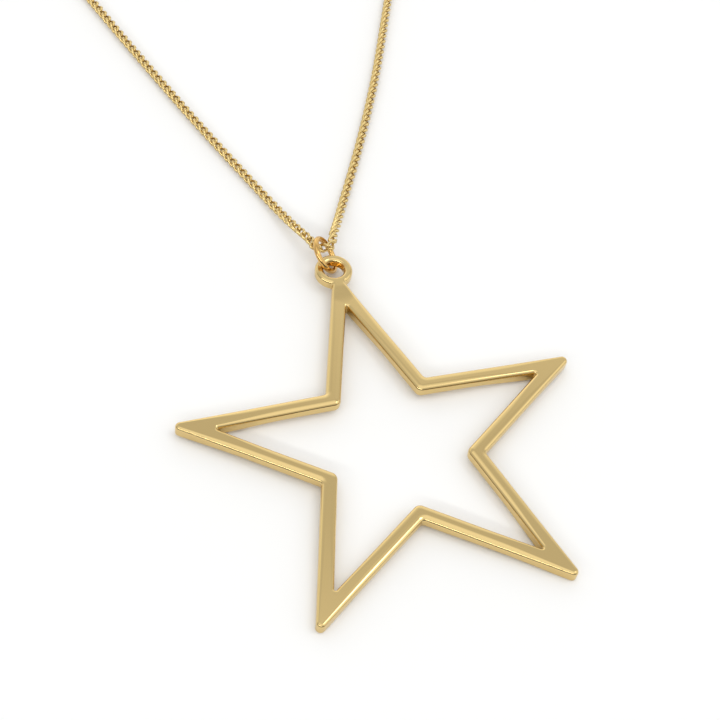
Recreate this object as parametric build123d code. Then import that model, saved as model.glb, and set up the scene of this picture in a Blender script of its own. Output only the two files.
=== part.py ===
from build123d import *
import math
import os

os.makedirs("parts", exist_ok=True)

# A star pendant on a fine chain, laid out on a table as a necklace is.
# Millimetres, +Z up, the table is z = 0. The origin is below the star's middle, and +Y runs
# from the star's middle through its top point to the chain.
#
# The star is an open five-pointed frame, cast in one piece with the small eye on its top point.
# A jump ring hangs in the eye and holds the chain, which folds sharply where it passes the ring.
# The ring's wire lies under the eye's far rim and props it up, so the star leans a little.
# The chain runs on from the picture in one plain loop and closes on a plain barrel clasp.

# Star
star_radius = 25.0          # middle to a sharp tip, before the tip is rounded
notch_radius = 9.77         # middle to a sharp notch
bar_width = 1.73
star_thickness = 1.7        # at the notches
tip_thickness = 1.38        # the top falls in a straight line to this at the sharp tips
bar_edge_round = 0.45       # along every top and bottom edge
tip_round = 0.56            # outer corner at each tip, seen from above
notch_round = 0.5           # outer corner at each notch
hole_tip_round = 0.2        # inner corner at each tip
hole_notch_round = 0.7      # inner corner at each notch
points = 5
wall_share = 0.45           # the most of a wall that the rounding of one of its edges takes

# Eye on the top point
eye_hole_radius = 1.2
eye_wall = 0.98             # from the hole to the outside
eye_thickness = 1.35
eye_back = 0.25             # the eye's back lies this much higher than the star's
eye_edge_round = 0.44
eye_inset = 0.25            # from the star's sharp tip to the eye's centre, towards the middle
star_tilt = 0.71            # degrees, the eye's side raised by the jump ring

# Jump ring
ring_wire = 0.65
ring_inner_radius = 1.715
ring_lean = 51.94           # degrees between the ring's plane and the table
ring_turn = -10.82          # degrees, where the lean points, counted from +X
ring_from_eye = (-0.36, 2.29)   # the ring's centre, seen from above, from the eye's centre

# Chain
chain_width = 1.1
clasp_gap = 0.15            # from each end of the chain to the clasp's eye

# Clasp
clasp_radius = 1.6
clasp_length = 8.0
clasp_end_round = 0.9
clasp_groove = 0.15         # depth of the line round its middle
clasp_groove_width = 0.3
clasp_eye_radius = 0.75     # middle of the wire
clasp_eye_wire = 0.5
clasp_eye_sunk = 0.3        # how far each eye's wire is sunk in the barrel's end
clasp_from_eye = (7.5, 192.75)  # the clasp's middle, seen from above, from the eye's centre

# The chain's route, from the clasp down the left side, through the ring and up the right side.
# Its two ends are on the clasp. These points are chosen by hand: x and y from the eye's centre,
# and the height over the table.
chain_points = [
    (-5.0, 192.35, 0.75),
    (-14.0, 189.85, 0.55),
    (-24.8, 183.75, 0.55),
    (-36.5, 170.75, 0.55),
    (-43.0, 153.25, 0.55),
    (-42.3, 131.25, 0.55),
    (-33.8, 99.35, 0.55),
    (-24.6, 70.25, 0.55),
    (-16.4, 45.75, 0.55),
    (-11.6, 32.05, 0.55),
    (-8.3, 23.15, 0.55),
    (-5.9, 17.05, 0.55),
    (-4.3, 12.95, 0.56),
    (-3.15, 9.5, 1.0),
    (-2.15, 6.55, 1.65),
    (-1.45, 4.85, 1.95),
    (-1.2, 3.3, 2.2),
    (0.7, 3.0, 2.2),
    (1.2, 4.8, 2.25),
    (2.2, 6.55, 1.7),
    (3.3, 8.75, 0.95),
    (5.0, 12.0, 0.56),
    (7.4, 16.45, 0.55),
    (10.9, 23.25, 0.55),
    (15.2, 32.25, 0.55),
    (20.9, 45.75, 0.55),
    (31.3, 69.65, 0.55),
    (42.8, 98.25, 0.55),
    (53.6, 129.55, 0.55),
    (56.0, 151.45, 0.55),
    (51.0, 169.35, 0.55),
    (39.6, 183.15, 0.55),
    (28.5, 190.05, 0.55),
    (20.0, 192.35, 0.75),
]
arc_share = 0.45            # of the shorter run beside a corner, taken up by its arc


def star_face(scale, outer_corner_round, notch_corner_round):
    """The star's outline at one scale, with its tips and notches rounded."""
    corners = []
    for i in range(points):
        tip_angle = math.radians(90 + i * 360 / points)
        for radius, angle in ((star_radius, tip_angle), (notch_radius, tip_angle + math.pi / points)):
            corners.append((scale * radius * math.cos(angle), scale * radius * math.sin(angle)))
    face = make_face(Polyline(*corners, close=True))
    middle = (star_radius + notch_radius) / 2 * scale
    tips = [v for v in face.vertices() if math.hypot(v.X, v.Y) > middle]
    face = fillet(tips, outer_corner_round)
    notches = []
    for i in range(points):
        angle = math.radians(90 + (i + 0.5) * 360 / points)
        corner = Vector(scale * notch_radius * math.cos(angle), scale * notch_radius * math.sin(angle))
        notches.append(min(face.vertices(), key=lambda v: (Vector(v.X, v.Y) - corner).length))
    return fillet(notches, notch_corner_round)


def on_table(from_eye, height):
    """A point over the table, seen from above at a place counted from the eye's centre."""
    return Vector(from_eye[0], star_radius - eye_inset + from_eye[1], height)


def round_long_edges(solid, radius, wall):
    """Round every edge that runs along the solid's top or bottom, as far as a wall allows."""
    edges = []
    for edge in solid.edges():
        box = edge.bounding_box()
        if box.max.Z - box.min.Z < 0.5 * max(box.size.X, box.size.Y):
            edges.append(edge)
    return fillet(edges, min(radius, wall_share * wall))


def star_pendant():
    """The star frame and its eye, one casting, leaning on the jump ring."""
    side = math.dist(
        (star_radius, 0),
        (notch_radius * math.cos(math.pi / points), notch_radius * math.sin(math.pi / points)),
    )
    side_distance = star_radius * notch_radius * math.sin(math.pi / points) / side
    hole_scale = (side_distance - bar_width) / side_distance
    frame = extrude(star_face(1, tip_round, notch_round), 2 * star_thickness)
    frame -= extrude(star_face(hole_scale, hole_tip_round, hole_notch_round), 2 * star_thickness)
    fall = (star_thickness - tip_thickness) / (star_radius - notch_radius)
    peak = star_thickness + fall * notch_radius
    top = Pos(0, 0, peak / 2) * Cone(peak / fall, 0, peak)
    frame = round_long_edges(frame & top, bar_edge_round, min(bar_width, tip_thickness))

    eye_place = Pos(on_table((0, 0), eye_back + eye_thickness / 2))
    eye = Cylinder(eye_hole_radius + eye_wall, eye_thickness) - Cylinder(eye_hole_radius, eye_thickness)
    eye = eye_place * round_long_edges(eye, eye_edge_round, min(eye_wall, eye_thickness))
    rim_middle = eye_hole_radius + eye_wall / 2
    frame -= eye_place * Cylinder(rim_middle, 3 * star_thickness)
    casting = Rot(star_tilt, 0, 0) * (frame + eye)
    return Pos(0, 0, -casting.bounding_box().min.Z) * casting


def jump_ring():
    """A closed round ring that leans to one side, with its lowest point on the table."""
    mean_radius = ring_inner_radius + ring_wire / 2
    height = ring_wire / 2 + mean_radius * math.sin(math.radians(ring_lean))
    place = Pos(on_table(ring_from_eye, height))
    return place * Rot(0, 0, ring_turn) * Rot(0, ring_lean, 0) * Torus(mean_radius, ring_wire / 2)


def clasp_reach():
    """From the clasp's middle to the outer end of an eye."""
    return clasp_length / 2 - clasp_eye_sunk + 2 * clasp_eye_radius + clasp_eye_wire


def clasp():
    """A plain barrel with an eye at each end, lying on the table."""
    barrel = Rot(0, 90, 0) * Cylinder(clasp_radius, clasp_length)
    rims = barrel.edges().filter_by(GeomType.CIRCLE)
    barrel = fillet(rims, clasp_end_round)
    groove = Cylinder(2 * clasp_radius, clasp_groove_width)
    groove -= Cylinder(clasp_radius - clasp_groove, clasp_groove_width)
    barrel -= Rot(0, 90, 0) * groove
    for side in (-1, 1):
        eye_x = side * (clasp_reach() - clasp_eye_radius - clasp_eye_wire / 2)
        barrel += Pos(eye_x, 0, 0) * Torus(clasp_eye_radius, clasp_eye_wire / 2)
    return Pos(on_table(clasp_from_eye, clasp_radius)) * barrel


def chain():
    """The chain's round outer form: straight runs joined by arcs as large as the runs allow."""
    middle = on_table(clasp_from_eye, clasp_radius)
    to_end = Vector(clasp_reach() + clasp_gap, 0, 0)
    route = [middle - to_end] + [on_table((x, y), z) for x, y, z in chain_points] + [middle + to_end]
    radii = []
    for before, corner, after in zip(route, route[1:], route[2:]):
        turn = math.radians((corner - before).get_angle(after - corner))
        shorter = min((corner - before).length, (after - corner).length)
        radii.append(arc_share * shorter / math.tan(turn / 2))
    path = FilletPolyline(*route, radius=radii)
    section = Plane(origin=path @ 0, z_dir=path % 0) * Circle(chain_width / 2)
    tube = sweep(section, path=path)
    print("arc radii", [round(r, 2) for r in radii])
    print("chain length", round(path.length, 1))
    print("volume by length", round(path.length * math.pi * chain_width**2 / 4, 2))
    print("volume swept", round(tube.volume, 2))
    return tube


pieces = {
    "star_pendant": star_pendant(),
    "jump_ring": jump_ring(),
    "chain": chain(),
    "clasp": clasp(),
}

for name, solid in pieces.items():
    export_step(solid, f"parts/{name}.step")
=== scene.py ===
import bpy
import math
from mathutils import Matrix, Vector
from mathutils.geometry import delaunay_2d_cdt


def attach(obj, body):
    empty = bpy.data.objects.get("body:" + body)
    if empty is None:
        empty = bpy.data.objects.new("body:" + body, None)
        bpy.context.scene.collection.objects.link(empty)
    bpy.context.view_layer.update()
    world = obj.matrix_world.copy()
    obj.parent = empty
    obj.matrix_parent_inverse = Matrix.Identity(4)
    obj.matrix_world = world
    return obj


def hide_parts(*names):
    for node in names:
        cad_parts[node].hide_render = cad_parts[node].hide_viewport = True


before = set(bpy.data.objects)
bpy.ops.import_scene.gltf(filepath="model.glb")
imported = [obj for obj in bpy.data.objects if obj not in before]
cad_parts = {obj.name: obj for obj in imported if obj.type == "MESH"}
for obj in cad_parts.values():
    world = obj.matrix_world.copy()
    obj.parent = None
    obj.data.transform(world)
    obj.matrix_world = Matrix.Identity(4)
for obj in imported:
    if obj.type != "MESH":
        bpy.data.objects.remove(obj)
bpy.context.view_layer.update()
mm = 0.001      # in metres; the sizes below are in millimetres unless they say otherwise
scene = bpy.context.scene
print("frame loaded:", sorted(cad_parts))


def linearColour(hexText):
    # sRGB hex to the linear values that shaders take
    values = [int(hexText[i:i + 2], 16) / 255 for i in (1, 3, 5)]
    return [v / 12.92 if v <= 0.04045 else ((v + 0.055) / 1.055) ** 2.4 for v in values] + [1.0]


def addNode(tree, kind, inputs=None, **settings):
    node = tree.nodes.new(kind)
    for name, value in settings.items():
        setattr(node, name, value)
    for socket, value in (inputs or {}).items():
        if isinstance(value, bpy.types.NodeSocket):
            tree.links.new(value, node.inputs[socket])
        else:
            node.inputs[socket].default_value = value
    return node


def addPiece(name, mesh):
    piece = bpy.data.objects.new(name, mesh)
    scene.collection.objects.link(piece)
    return piece


def addMesh(name, points, normals, faces):
    # points in millimetres; the normals are the exact ones of the rounded form
    mesh = bpy.data.meshes.new(name)
    mesh.from_pydata([Vector(p) * mm for p in points], [], faces)
    mesh.update()
    mesh.shade_smooth()
    mesh.normals_split_custom_set_from_vertices(normals)
    return addPiece(name, mesh)


def smoothStep(low, high, at):
    # from 0 to 1 as a value goes from low to high, level at both ends
    t = min(max((at - low) / (high - low), 0.0), 1.0)
    return t * t * (3 - 2 * t)


# Set from the photo: where the camera stands and looks, in millimetres and unit axes.
camera = {
    "place": (-50.795, -95.384, 154.218),
    "right": (0.95247, -0.28202, 0.11513),
    "down": (-0.15901, -0.78269, -0.60176),
    "ahead": (0.25982, 0.55486, -0.79033),
    "lens": 86.7,           # on a sensor 36 mm wide
}


def addCamera(sizes):
    data = bpy.data.cameras.new("camera")
    data.lens = sizes["lens"]
    data.sensor_width = 36.0
    data.clip_start = 0.005
    data.clip_end = 40.0
    viewer = bpy.data.objects.new("camera", data)
    scene.collection.objects.link(viewer)
    axes = Matrix([sizes["right"], [-v for v in sizes["down"]], [-v for v in sizes["ahead"]]])
    viewer.matrix_world = Matrix.Translation(Vector(sizes["place"]) * mm) @ axes.transposed().to_4x4()
    scene.camera = viewer


addCamera(camera)
print("camera placed")

# The eye's centre, seen from above; the ring and the chain's route are counted from it.
eyeCentre = Vector((0.0, 24.75, 0.0))

# The chain's route, from the clasp down the left side, through the ring and up the right side.
# Its first and last point are the flat rings that hold the clasp's eyes.
chainPoints = [
    (1.82, 192.75, 1.6),
    (-5.0, 192.35, 0.75),
    (-14.0, 189.85, 0.55),
    (-24.8, 183.75, 0.55),
    (-36.5, 170.75, 0.55),
    (-43.0, 153.25, 0.55),
    (-42.3, 131.25, 0.55),
    (-33.8, 99.35, 0.55),
    (-24.6, 70.25, 0.55),
    (-16.4, 45.75, 0.55),
    (-11.6, 32.05, 0.55),
    (-8.3, 23.15, 0.55),
    (-5.9, 17.05, 0.55),
    (-4.3, 12.95, 0.56),
    (-3.15, 9.5, 1.0),
    (-2.15, 6.55, 1.65),
    (-1.45, 4.85, 1.95),
    (-1.2, 3.3, 2.2),
    (0.7, 3.0, 2.2),
    (1.2, 4.8, 2.25),
    (2.2, 6.55, 1.7),
    (3.3, 8.75, 0.95),
    (5.0, 12.0, 0.56),
    (7.4, 16.45, 0.55),
    (10.9, 23.25, 0.55),
    (15.2, 32.25, 0.55),
    (20.9, 45.75, 0.55),
    (31.3, 69.65, 0.55),
    (42.8, 98.25, 0.55),
    (53.6, 129.55, 0.55),
    (56.0, 151.45, 0.55),
    (51.0, 169.35, 0.55),
    (39.6, 183.15, 0.55),
    (28.5, 190.05, 0.55),
    (20.0, 192.35, 0.75),
    (13.18, 192.75, 1.6),
]

chain = {
    "pitch": 1.04,          # from link to link
    "linkLength": 1.43,     # along the middle of the wire
    "linkWidth": 0.72,
    "wire": 0.37,
    "curl": 0.29,           # how far each link's wire rises and falls, which lets the links lie flat
    # the flat ring at each end, upright through the clasp's eye
    "endLength": 1.46,
    "endWidth": 1.0,
    "endWire": 0.28,
    "endRoll": 90,          # degrees
    "segments": (16, 6),    # round each link and round its wire
    # degrees that the links are rolled about the chain, by the distance from the fold in the
    # jump ring: minus on the left strand, plus on the right
    "roll": [(-217, 33), (-200, -5), (-10, -5), (0, 60), (10, 40), (200, 40), (217, -33)],
}


def addRoute():
    curve = bpy.data.curves.new("chainRoute", "CURVE")
    curve.dimensions = "3D"
    curve.resolution_u = 24
    spline = curve.splines.new("NURBS")
    route = [eyeCentre + Vector(p) for p in chainPoints]
    spline.points.add(len(route) - 1)
    for point, place in zip(spline.points, route):
        point.co = (*(place * mm), 1.0)
    spline.order_u = 3
    spline.use_endpoint_u = True
    line = bpy.data.objects.new("chainRoute", curve)
    scene.collection.objects.link(line)
    bpy.context.view_layer.update()
    path = bpy.data.meshes.new_from_object(line.evaluated_get(bpy.context.evaluated_depsgraph_get()))
    bpy.data.objects.remove(line)
    return path


def pathLengths(path):
    places = [v.co / mm for v in path.vertices]
    lengths = [0.0]
    for before, after in zip(places, places[1:]):
        lengths.append(lengths[-1] + (after - before).length)
    return places, lengths


def between(keys, at):
    # a smooth value between the keys
    if at <= keys[0][0]:
        return keys[0][1]
    for (x0, v0), (x1, v1) in zip(keys, keys[1:]):
        if at <= x1:
            return v0 + (v1 - v0) * smoothStep(x0, x1, at)
    return keys[-1][1]


def linkShape(tree, length, width, wire, curl):
    # a closed ring of round wire: a circle bent to an oval, whose wire also rises and falls
    around, section = chain["segments"]
    circle = addNode(tree, "GeometryNodeCurvePrimitiveCircle", {"Resolution": around, "Radius": 1.0})
    along = addNode(tree, "GeometryNodeSplineParameter").outputs["Factor"]
    turn = addNode(tree, "ShaderNodeMath", {0: along, 1: math.tau}, operation="MULTIPLY").outputs[0]
    twice = addNode(tree, "ShaderNodeMath", {0: turn, 1: 2.0}, operation="MULTIPLY").outputs[0]
    parts = []
    for angle, wave, size, share in (
        (turn, "COSINE", length, 0.5), (turn, "SINE", width, 0.5), (twice, "SINE", curl, 1.0),
    ):
        value = addNode(tree, "ShaderNodeMath", {0: angle}, operation=wave).outputs[0]
        value = addNode(tree, "ShaderNodeMath", {0: value, 1: size}, operation="MULTIPLY").outputs[0]
        parts.append(addNode(tree, "ShaderNodeMath", {0: value, 1: share}, operation="MULTIPLY").outputs[0])
    place = addNode(tree, "ShaderNodeCombineXYZ", {"X": parts[0], "Y": parts[1], "Z": parts[2]})
    oval = addNode(
        tree, "GeometryNodeSetPosition", {"Geometry": circle.outputs[0], "Position": place.outputs[0]},
    )
    radius = addNode(tree, "ShaderNodeMath", {0: wire, 1: 0.5}, operation="MULTIPLY").outputs[0]
    rim = addNode(tree, "GeometryNodeCurvePrimitiveCircle", {"Resolution": section, "Radius": radius})
    return addNode(
        tree, "GeometryNodeCurveToMesh", {"Curve": oval.outputs[0], "Profile Curve": rim.outputs[0]},
    )


# the tree's named inputs, and the chain's sizes that they take
linkInputs = {
    "Link Length": "linkLength",
    "Link Width": "linkWidth",
    "Wire": "wire",
    "Curl": "curl",
    "End Length": "endLength",
    "End Width": "endWidth",
    "End Wire": "endWire",
}


def linkTree():
    # One curb link is a ring of round wire, longer than wide and twisted, so that each lies
    # flat in its neighbours. The tree sets it along the path, with a flat ring at each end.
    tree = bpy.data.node_groups.new("curbLinks", "GeometryNodeTree")
    face = tree.interface
    sockets = {}
    face.new_socket("Path", in_out="INPUT", socket_type="NodeSocketGeometry")
    kinds = {"Links": "NodeSocketInt", "Finish": "NodeSocketMaterial"}
    kinds.update({name: "NodeSocketFloat" for name in linkInputs})
    for name, kind in kinds.items():
        sockets[name] = face.new_socket(name, in_out="INPUT", socket_type=kind).identifier
    face.new_socket("Links", in_out="OUTPUT", socket_type="NodeSocketGeometry")
    given = addNode(tree, "NodeGroupInput").outputs
    link = linkShape(tree, given["Link Length"], given["Link Width"], given["Wire"], given["Curl"])
    end = linkShape(tree, given["End Length"], given["End Width"], given["End Wire"], 0.0)

    line = addNode(tree, "GeometryNodeMeshToCurve", {0: given["Path"]})
    spots = addNode(tree, "GeometryNodeResampleCurve", {"Curve": line.outputs[0], "Count": given["Links"]})
    tangent = addNode(tree, "GeometryNodeInputTangent").outputs[0]
    along = addNode(tree, "FunctionNodeAlignRotationToVector", {"Vector": tangent}, axis="X")
    flat = addNode(
        tree, "FunctionNodeAlignRotationToVector",
        {"Rotation": along.outputs[0], "Vector": (0.0, 0.0, 1.0)}, axis="Z", pivot_axis="X",
    )
    roll = addNode(tree, "GeometryNodeInputNamedAttribute", {"Name": "roll"}, data_type="FLOAT")
    about = addNode(
        tree, "FunctionNodeAxisAngleToRotation",
        {"Axis": (1.0, 0.0, 0.0), "Angle": roll.outputs["Attribute"]},
    )
    turned = addNode(
        tree, "FunctionNodeRotateRotation",
        {"Rotation": flat.outputs[0], "Rotate By": about.outputs[0]}, rotation_space="LOCAL",
    )
    atEnds = addNode(tree, "GeometryNodeCurveEndpointSelection", {"Start Size": 1, "End Size": 1})
    elsewhere = addNode(tree, "FunctionNodeBooleanMath", {0: atEnds.outputs[0]}, operation="NOT")
    both = addNode(tree, "GeometryNodeJoinGeometry")
    for shape, chosen in ((link, elsewhere), (end, atEnds)):
        row = addNode(
            tree, "GeometryNodeInstanceOnPoints",
            {"Points": spots.outputs[0], "Selection": chosen.outputs[0], "Instance": shape.outputs[0],
             "Rotation": turned.outputs[0]},
        )
        tree.links.new(row.outputs[0], both.inputs[0])
    whole = addNode(tree, "GeometryNodeRealizeInstances", {"Geometry": both.outputs[0]})
    smooth = addNode(tree, "GeometryNodeSetShadeSmooth", {"Geometry": whole.outputs[0]})
    done = addNode(
        tree, "GeometryNodeSetMaterial", {"Geometry": smooth.outputs[0], "Material": given["Finish"]},
    )
    addNode(tree, "NodeGroupOutput", {0: done.outputs[0]})
    return tree, sockets


def addChain(sizes, finish):
    path = addRoute()
    places, lengths = pathLengths(path)
    fold = min(range(len(places)), key=lambda i: places[i].y)     # the turn in the jump ring
    rolls = [math.radians(between(sizes["roll"], length - lengths[fold])) for length in lengths]
    rolls[0] = rolls[-1] = math.radians(sizes["endRoll"])
    path.attributes.new("roll", "FLOAT", "POINT").data.foreach_set("value", rolls)
    tree, sockets = linkTree()
    carrier = addPiece("chainPath", path)
    links = carrier.modifiers.new("links", "NODES")
    links.node_group = tree
    count = round(lengths[-1] / sizes["pitch"]) + 1
    links[sockets["Links"]] = count
    links[sockets["Finish"]] = finish
    for name, size in linkInputs.items():
        links[sockets[name]] = sizes[size] * mm
    bpy.context.view_layer.update()
    made = bpy.data.meshes.new_from_object(carrier.evaluated_get(bpy.context.evaluated_depsgraph_get()))
    bpy.data.objects.remove(carrier)
    print("chain:", count, "links on", round(lengths[-1], 1), "mm, folded after", round(lengths[fold], 1),
          "mm, faces", len(made.polygons))
    return addPiece("curb_chain", made)


star = {
    "points": 5,
    "radius": 25.0,          # middle to a sharp tip
    "notchRadius": 9.77,     # middle to a sharp notch
    "barWidth": 1.73,
    "thickness": 1.7,        # at the notches
    "tipThickness": 1.38,    # the top falls in a straight line to this at the sharp tips
    "tipRound": 0.56,        # corners seen from above
    "notchRound": 0.45,
    "holeTipRound": 0.14,
    "holeNotchRound": 0.85,
    "eyeRadius": 2.18,
    "eyeHoleRadius": 1.2,
    "eyeTop": 1.6,
    "eyeBack": 0.25,         # the eye's back lies this much higher than the star's
    "neckRound": 0.22,       # where the eye meets the star's sides
    # the top and its edges turn from the eye's to the bars' between these distances from the
    # eye's centre, and the back steps up between these distances below it
    "neckTop": (2.4, 4.6),
    "neckEdge": (2.4, 4.2),
    "neckBack": (2.35, 1.85),
    # polishing has worn the bars rounder away from the tips: each pair is at the tips, and
    # from this radius inwards; round the hole the radii are this share of the outside's
    "wornRadius": 15.5,
    "holeShare": 0.78,
    "shoulder": (0.04, 0.40),    # the soft slope beside each top edge
    "edgeRound": (0.38, 0.44),   # the tight part of the top edge
    "backRound": (0.15, 0.78),
    "eyeEdgeRound": 0.42,
    "shoulderSlope": 16.0,   # degrees, where the slope meets the tight part
    "tilt": 0.71,            # degrees, because the jump ring raises the eye's side
    "step": 0.8,             # mesh spacing along straight sides
    # degrees, mesh spacing round the corners, the neck's hollow corners, the eye and its hole
    "arcStep": 7.0,
    "neckArcStep": 12.0,
    "eyeArcStep": 3.5,
    "eyeHoleArcStep": 4.4,
    "rings": (5, 10, 8),     # mesh rings on the shoulder, the tight part and the back's edge
    "neckGrid": 0.1,         # mesh spacing across the step of the back
}


def leftOf(direction):
    return Vector((-direction.y, direction.x))


def arcStations(centre, radius, start, sweep, hollow, degrees):
    # points on an arc with their outward directions; sweep is in radians, and a hollow arc
    # has the metal outside it
    count = max(3, round(abs(math.degrees(sweep)) / degrees))
    stations = []
    for i in range(count + 1):
        angle = start + sweep * i / count
        ray = Vector((math.cos(angle), math.sin(angle)))
        stations.append((centre + radius * ray, -ray if hollow else ray))
    return stations


def roundedRun(corners, radii, closed, sizes):
    # the metal is on the left of the run; each bend is where its arc starts and stops, which
    # way is outward after it, and the arc's stations
    count = len(corners)
    stations = []
    bends = []
    inner = range(count) if closed else range(1, count - 1)
    for i in inner:
        before, here, after = corners[i - 1], corners[i], corners[(i + 1) % count]
        into, out = (here - before).normalized(), (after - here).normalized()
        turn = math.atan2(into.x * out.y - into.y * out.x, into.dot(out))
        cut = radii[i] * math.tan(abs(turn) / 2)
        side = 1 if turn > 0 else -1
        centre = here - into * cut + leftOf(into) * side * radii[i]
        ray = -leftOf(into) * side
        arc = arcStations(centre, radii[i], math.atan2(ray.y, ray.x), turn, turn < 0, sizes["arcStep"])
        bends.append((here - into * cut, here + out * cut, -leftOf(out), arc))
    if not closed:
        first = (corners[0], corners[0], -leftOf((corners[1] - corners[0]).normalized()), [])
        last = (corners[-1], corners[-1], None, [])
        bends = [first] + bends + [last]
    pairs = zip(bends, bends[1:] + bends[:1]) if closed else zip(bends, bends[1:])
    for (_, start, outward, arc), (stop, _, _, nextArc) in pairs:
        stations += arc
        parts = max(2, round((stop - start).length / sizes["step"]))
        low = 1 if arc else 0
        high = parts if nextArc else parts + 1
        stations += [(start.lerp(stop, k / parts), outward) for k in range(low, high)]
    return stations


def starCorners(scale, sizes):
    corners = []
    for i in range(sizes["points"]):
        for radius, half in ((sizes["radius"], 0), (sizes["notchRadius"], 0.5)):
            angle = math.radians(90 + (i + half) * 360 / sizes["points"])
            corners.append(Vector((math.cos(angle), math.sin(angle))) * radius * scale)
    return corners


def mirrored(spot):
    return Vector((-spot.x, spot.y))


def starOutline(sizes):
    # the sides run into the eye's round outside with a small hollow corner
    corners = starCorners(1.0, sizes)
    centre = eyeCentre.xy
    down = (corners[1] - corners[0]).normalized()      # down the left side from the tip
    outward = -leftOf(down)
    offset = (corners[0] - centre).dot(outward)
    small, large = sizes["neckRound"], sizes["eyeRadius"]
    along = math.sqrt((large + small) ** 2 - (offset + small) ** 2)
    left = centre + down * along + outward * (offset + small)
    right = mirrored(left)
    touch = left - outward * small
    run = [touch] + corners[1:] + [mirrored(touch)]
    radii = [0] + [sizes["notchRound"], sizes["tipRound"]] * sizes["points"]
    stations = roundedRun(run, radii[:len(run)], False, sizes)
    # the hollow corner on the right, round the eye, and the hollow corner on the left
    ray = mirrored(touch) - right
    toEye = centre - right
    start = math.atan2(ray.y, ray.x)
    sweep = -((start - math.atan2(toEye.y, toEye.x)) % math.tau)
    stations += arcStations(right, small, start, sweep, True, sizes["neckArcStep"])[1:]
    start = math.atan2(-toEye.y, -toEye.x)
    stations += arcStations(centre, large, start, 2 * (math.pi / 2 - start), False, sizes["eyeArcStep"])[1:]
    ray = centre - left
    start = math.atan2(ray.y, ray.x)
    stations += arcStations(left, small, start, sweep, True, sizes["neckArcStep"])[1:-1]
    return stations


def holeOutline(sizes):
    # the hole is the outside made smaller until the bars have their width
    tip, notch = starCorners(1.0, sizes)[:2]
    reach = abs(tip.cross(notch)) / (tip - notch).length      # from the middle to a side
    corners = starCorners((reach - sizes["barWidth"]) / reach, sizes)
    radii = [sizes["holeTipRound"], sizes["holeNotchRound"]] * sizes["points"]
    # backwards, so that the metal is on the left
    corners.reverse()
    radii.reverse()
    return roundedRun(corners, radii, True, sizes)


def topHeight(spot, sizes):
    # the top falls from the notches to the tips, and meets the eye's level top at the neck
    fall = (sizes["thickness"] - sizes["tipThickness"]) / (sizes["radius"] - sizes["notchRadius"])
    height = sizes["thickness"] - fall * (spot.length - sizes["notchRadius"])
    atEye = 1 - smoothStep(*sizes["neckTop"], (spot - eyeCentre.xy).length)
    return height + (sizes["eyeTop"] - height) * atEye


def backHeight(spot, sizes):
    # the star's back is flat, and steps up to the eye's across the neck
    low, high = sizes["neckBack"]
    return sizes["eyeBack"] * smoothStep(eyeCentre.y - low, eyeCentre.y - high, spot.y)


def edgeProfile(place, sizes, share):
    # rings down one station: how far each is inside the outline, how far below the top or
    # above the back, and its tilt
    toNotch = smoothStep(sizes["radius"] * share, sizes["wornRadius"] * share, place.length)
    atEye = 1 - smoothStep(*sizes["neckEdge"], (place - eyeCentre.xy).length)
    soft, tight, back = [
        low + (high - low) * toNotch
        for low, high in (sizes["shoulder"], sizes["edgeRound"], sizes["backRound"])
    ]
    tight += (sizes["eyeEdgeRound"] - tight) * atEye
    back += (sizes["eyeEdgeRound"] - back) * atEye
    slope = math.radians(sizes["shoulderSlope"])
    drop = soft * math.tan(slope) / 2
    middle = -drop - tight * math.cos(slope)
    onShoulder, onEdge, onBack = sizes["rings"]
    rings = []
    for i in range(onShoulder):
        x = soft * i / onShoulder
        inside = tight * (1 - math.sin(slope)) + soft - x
        rings.append((inside, -drop * (x / soft) ** 2, math.atan(2 * x * drop / soft ** 2)))
    for i in range(onEdge):
        angle = slope + (math.pi / 2 - slope) * i / (onEdge - 1)
        rings.append((tight * (1 - math.sin(angle)), middle + tight * math.cos(angle), angle))
    for i in range(onBack):
        angle = math.pi / 2 * (1 + i / (onBack - 1))
        rings.append((back * (1 - math.sin(angle)), back * (1 + math.cos(angle)), angle))
    return rings


def inMetal(spot, outlines):
    # inside the outside and not in a hole: a line from the spot crosses an odd number of sides
    odd = False
    for outline in outlines:
        for a, b in zip(outline, outline[1:] + outline[:1]):
            passes = (a.y > spot.y) != (b.y > spot.y)
            if passes and spot.x < a.x + (b.x - a.x) * (spot.y - a.y) / (b.y - a.y):
                odd = not odd
    return odd


def wallFaces(first, count, depth):
    # between the stations of one outline, each with its rings one after another
    faces = []
    for i in range(count):
        here = first + i * depth
        after = first + (i + 1) % count * depth
        for j in range(depth - 1):
            faces.append((here + j, here + j + 1, after + j + 1, after + j))
    return faces


def flatFaces(points, edges, loose, upward):
    # the star's top or back, between its edges and through the loose points
    chosen = [i for edge in edges for i in edge] + loose
    sides = []
    start = 0
    for edge in edges:
        sides += [(start + i, start + (i + 1) % len(edge)) for i in range(len(edge))]
        start += len(edge)
    outlines = [[points[i].xy for i in edge] for edge in edges]
    # this fills the whole hull, so the faces outside the metal are left out
    cut = delaunay_2d_cdt([points[i].xy for i in chosen], sides, [], 0, 1e-7, True)
    origin = [chosen[ids[0]] for ids in cut[3]]
    faces = []
    for corners in cut[2]:
        corners = [origin[i] for i in corners]
        a, b, c = (points[i].xy for i in corners)
        if inMetal((a + b + c) / 3, outlines):
            looksUp = (b - a).cross(c - a) > 0
            faces.append(tuple(corners if looksUp == upward else reversed(corners)))
    return faces


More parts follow.
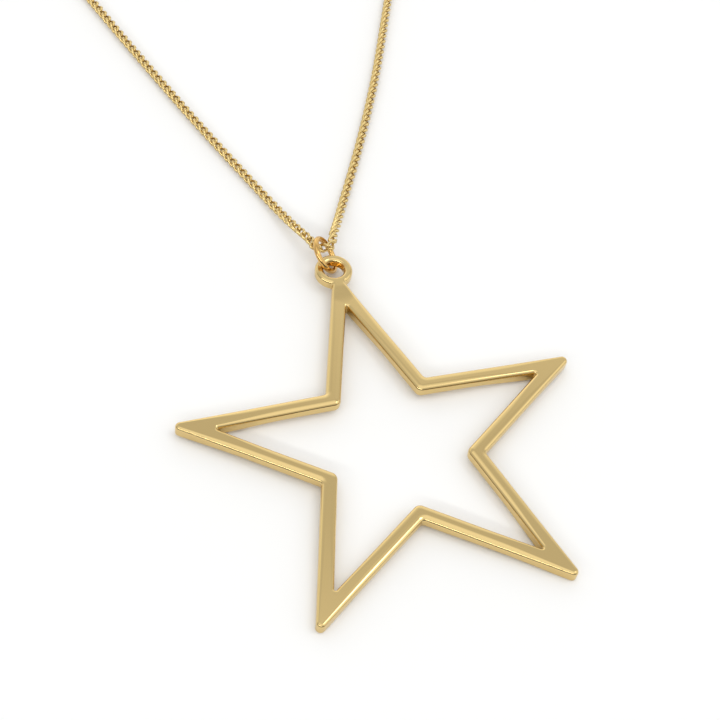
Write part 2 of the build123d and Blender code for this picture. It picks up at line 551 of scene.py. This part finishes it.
def addStar(sizes):
    eyeHole = arcStations(
        eyeCentre.xy, sizes["eyeHoleRadius"], math.pi, -math.tau, True, sizes["eyeHoleArcStep"],
    )[:-1]
    points, normals, faces, tops, backs = [], [], [], [], []
    depth = sum(sizes["rings"])
    nudge = 0.01      # mm, over which the slope of the top is measured
    outlines = ((starOutline(sizes), 1.0), (holeOutline(sizes), sizes["holeShare"]), (eyeHole, 1.0))
    for stations, share in outlines:
        first, count = len(points), len(stations)
        for place, outward in stations:
            for inside, height, angle in edgeProfile(place, sizes, share):
                spot = place - outward * inside
                level = topHeight if angle < math.pi / 2 or height < 0 else backHeight
                here = level(spot, sizes)
                points.append(Vector((spot.x, spot.y, here + height)))
                rise = Vector((
                    level(spot + Vector((nudge, 0.0)), sizes) - here,
                    level(spot + Vector((0.0, nudge)), sizes) - here,
                )) / nudge
                normal = Vector((*(outward * math.sin(angle) - rise * math.cos(angle)), math.cos(angle)))
                normals.append(normal.normalized())
        faces += wallFaces(first, count, depth)
        tops.append([first + i * depth for i in range(count)])
        backs.append([first + i * depth + depth - 1 for i in range(count)])
    faces += flatFaces(points, tops, [], True)
    # the back bends at the neck: points 0.5 mm to each side, 1.7 to 2.4 mm below the eye's centre
    loose = []
    for x in range(-5, 6):
        for y in range(17, 25):
            spot = Vector((x * sizes["neckGrid"], eyeCentre.y - y * sizes["neckGrid"]))
            loose.append(len(points))
            points.append(Vector((spot.x, spot.y, backHeight(spot, sizes))))
            normals.append(Vector((0.0, 0.0, -1.0)))
    faces += flatFaces(points, backs, loose, False)
    # the star leans on the jump ring, and its lowest tips touch the table
    lean = Matrix.Rotation(math.radians(sizes["tilt"]), 3, "X")
    points = [lean @ p for p in points]
    normals = [lean @ n for n in normals]
    lift = Vector((0.0, 0.0, -min(p.z for p in points)))
    print("star: lifted", round(lift.z, 4), "mm,", len(points), "points")
    return addMesh("star_frame", [p + lift for p in points], normals, faces)


ring = {
    "wire": 0.65,
    "innerRadius": 1.715,
    "lean": 51.94,            # degrees between the ring's plane and the table
    "turn": -10.82,           # degrees, where the lean points, counted from +X
    "fromEye": (-0.36, 2.29), # its centre, seen from above
    "segments": (160, 28),    # round the ring and round the wire
}


def addRing(sizes):
    wireRadius = sizes["wire"] / 2
    meanRadius = sizes["innerRadius"] + wireRadius
    around, section = sizes["segments"]
    lean = math.radians(sizes["lean"])
    turning = Matrix.Rotation(math.radians(sizes["turn"]), 3, "Z") @ Matrix.Rotation(lean, 3, "Y")
    height = wireRadius + meanRadius * math.sin(lean)
    centre = eyeCentre + Vector((*sizes["fromEye"], height))
    points, normals, faces = [], [], []
    for i in range(around):
        angle = math.tau * i / around
        outward = Vector((math.cos(angle), math.sin(angle), 0.0))
        for j in range(section):
            slant = math.tau * j / section
            normal = outward * math.cos(slant) + Vector((0.0, 0.0, math.sin(slant)))
            points.append(centre + turning @ (outward * meanRadius + normal * wireRadius))
            normals.append(turning @ normal)
            k, m = (i + 1) % around, (j + 1) % section
            faces.append((i * section + j, k * section + j, k * section + m, i * section + m))
    return addMesh("ring", points, normals, faces)


# Gold flash plate over brass: warm and bright, with the soft unevenness of tumbled polish.
goldPlate = {
    "colour": "#DEC387",
    "roughness": (0.05, 0.10),      # between the duller clouds in the polish, and in them
    "mottle": 2.5,                  # size of the clouds
    "ripple": 1.6,                  # size of the slight waves left by polishing
    "rippleDepth": 0.002,
}
# The ring's plate is a deeper amber, and its drawn wire shines more sharply than the star.
ringFinish = {"colour": "#DBB16B", "roughness": (0.03, 0.06)}
# The links are a little duller than the star, as tumbled wire is, so the chain glints softly.
linkFinish = {"colour": "#DEC486", "roughness": (0.08, 0.16), "mottle": 0.9}


def goldMaterial(name, sizes, **changes):
    sizes = {**sizes, **changes}
    material = bpy.data.materials.new(name)
    material.use_nodes = True
    tree = material.node_tree
    shader = tree.nodes["Principled BSDF"]
    shader.inputs["Base Color"].default_value = linearColour(sizes["colour"])
    shader.inputs["Metallic"].default_value = 1.0
    where = addNode(tree, "ShaderNodeTexCoord").outputs["Object"]
    clouds = addNode(
        tree, "ShaderNodeTexNoise", {"Vector": where, "Scale": 1 / (sizes["mottle"] * mm), "Detail": 3.0},
    )
    # nearly all of the clouds' values lie between 0.3 and 0.7
    dull = addNode(
        tree, "ShaderNodeMapRange",
        {"Value": clouds.outputs[0], "From Min": 0.3, "From Max": 0.7,
         "To Min": sizes["roughness"][0], "To Max": sizes["roughness"][1]},
    )
    tree.links.new(dull.outputs[0], shader.inputs["Roughness"])
    waves = addNode(
        tree, "ShaderNodeTexNoise", {"Vector": where, "Scale": 1 / (sizes["ripple"] * mm), "Detail": 1.0},
    )
    bump = addNode(
        tree, "ShaderNodeBump", {"Height": waves.outputs[0], "Distance": sizes["rippleDepth"] * mm},
    )
    tree.links.new(bump.outputs[0], shader.inputs["Normal"])
    return material


# White card: matt, with no shine of its own.
table = {
    "colour": "#F8F8F7",
    "roughness": 0.9,
    "size": 40.0,       # metres, so that its edge stays out of low views
}
# The studio round the table, as brightness by direction. Each lamp or lit wall is a soft
# patch: where it is, how wide its core and its edge are in degrees, and its brightness.
studio = {
    "base": 0.70,
    "patches": [
        ((-0.06, -0.13, 0.99), 20.0, 39.0, 0.50),   # the pale ceiling
        ((0.40, 0.86, 0.30), 15.0, 40.0, 0.44),     # the bright wall beyond
        ((-0.33, 0.93, 0.16), 20.0, 46.0, 0.32),    # a paler wall on the left
        ((0.76, -0.30, 0.58), 15.0, 36.0, 0.52),    # and one on the right
        ((0.46, -0.03, 0.89), 3.0, 9.0, 4.2),       # a lamp overhead
    ],
    # the dark room behind the viewer begins this far from the axis, and dims to this share
    "room": {"axis": (0.14, 0.29, 0.95), "core": 76.0, "edge": 90.0, "share": 0.22},
    # a long thin lamp runs along its border; the patch is the part that is lit
    "strip": {
        "angle": 75.0, "core": 1.4, "edge": 3.0, "brightness": 7.0,
        "lit": ((-0.58, -0.61, 0.53), 24.0, 42.0),
    },
}


def addTable(sizes):
    half = sizes["size"] / 2
    mesh = bpy.data.meshes.new("table")
    corners = [(-half, -half, 0), (half, -half, 0), (half, half, 0), (-half, half, 0)]
    mesh.from_pydata(corners, [], [(0, 1, 2, 3)])
    material = bpy.data.materials.new("white card")
    material.use_nodes = True
    tree = material.node_tree
    shader = tree.nodes["Principled BSDF"]
    shader.inputs["Base Color"].default_value = linearColour(sizes["colour"])
    shader.inputs["Roughness"].default_value = sizes["roughness"]
    shader.inputs["Specular IOR Level"].default_value = 0.0
    mesh.materials.append(material)
    top = addPiece("table", mesh)


def softPatch(tree, direction, axis, core, edge, low, high):
    # high round the axis, out to the core's angle, and low beyond the edge's
    near = addNode(
        tree, "ShaderNodeVectorMath", {0: direction, 1: Vector(axis).normalized()}, operation="DOT_PRODUCT",
    )
    return addNode(
        tree, "ShaderNodeMapRange",
        {"Value": near.outputs["Value"], "From Min": math.cos(math.radians(edge)),
         "From Max": math.cos(math.radians(core)), "To Min": low, "To Max": high},
        interpolation_type="SMOOTHSTEP",
    ).outputs[0]


def addStudio(sizes):
    world = bpy.data.worlds.new("studio")
    scene.world = world
    world.use_nodes = True
    tree = world.node_tree
    back = tree.nodes["Background"]
    direction = addNode(tree, "ShaderNodeTexCoord").outputs["Generated"]
    light = sizes["base"]
    for axis, core, edge, brightness in sizes["patches"]:
        lamp = softPatch(tree, direction, axis, core, edge, 0.0, brightness)
        light = addNode(tree, "ShaderNodeMath", {0: lamp, 1: light}, operation="ADD").outputs[0]
    room, strip = sizes["room"], sizes["strip"]
    dimming = softPatch(tree, direction, room["axis"], room["core"], room["edge"], room["share"], 1.0)
    light = addNode(tree, "ShaderNodeMath", {0: dimming, 1: light}, operation="MULTIPLY").outputs[0]
    # the strip lamp's middle line is a cone round the room's axis
    near = addNode(
        tree, "ShaderNodeVectorMath",
        {0: direction, 1: Vector(room["axis"]).normalized()}, operation="DOT_PRODUCT",
    )
    cone = math.cos(math.radians(strip["angle"]))
    off = addNode(tree, "ShaderNodeMath", {0: near.outputs["Value"], 1: cone}, operation="SUBTRACT")
    off = addNode(tree, "ShaderNodeMath", {0: off.outputs[0]}, operation="ABSOLUTE")
    line = addNode(
        tree, "ShaderNodeMapRange",
        {"Value": off.outputs[0], "From Min": math.radians(strip["edge"]),
         "From Max": math.radians(strip["core"]), "To Min": 0.0, "To Max": 1.0},
        interpolation_type="SMOOTHSTEP",
    )
    lit = softPatch(tree, direction, *strip["lit"], 0.0, strip["brightness"])
    lamp = addNode(tree, "ShaderNodeMath", {0: line.outputs[0], 1: lit}, operation="MULTIPLY")
    light = addNode(tree, "ShaderNodeMath", {0: lamp.outputs[0], 1: light}, operation="ADD").outputs[0]
    tree.links.new(light, back.inputs["Strength"])
    back.inputs["Color"].default_value = (1.0, 1.0, 1.0, 1.0)
    scene.view_settings.view_transform = "Standard"


addTable(table)
addStudio(studio)
print("table and studio light made")

starPiece = addStar(star)
starPiece.data.materials.append(goldMaterial("polished gold plate on cast brass", goldPlate))
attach(starPiece, "root")
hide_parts("star_pendant")

ringPiece = addRing(ring)
ringPiece.data.materials.append(goldMaterial("gold plated round wire", goldPlate, **ringFinish))
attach(ringPiece, "root")
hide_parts("jump_ring")
print("star and jump ring made")

chainPiece = addChain(chain, goldMaterial("gold plated curb links", goldPlate, **linkFinish))
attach(chainPiece, "root")
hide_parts("chain")

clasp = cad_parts["clasp"]
clasp.data.materials.clear()
clasp.data.materials.append(goldMaterial("polished gold plate on the barrel", goldPlate))
print("chain and clasp finished")
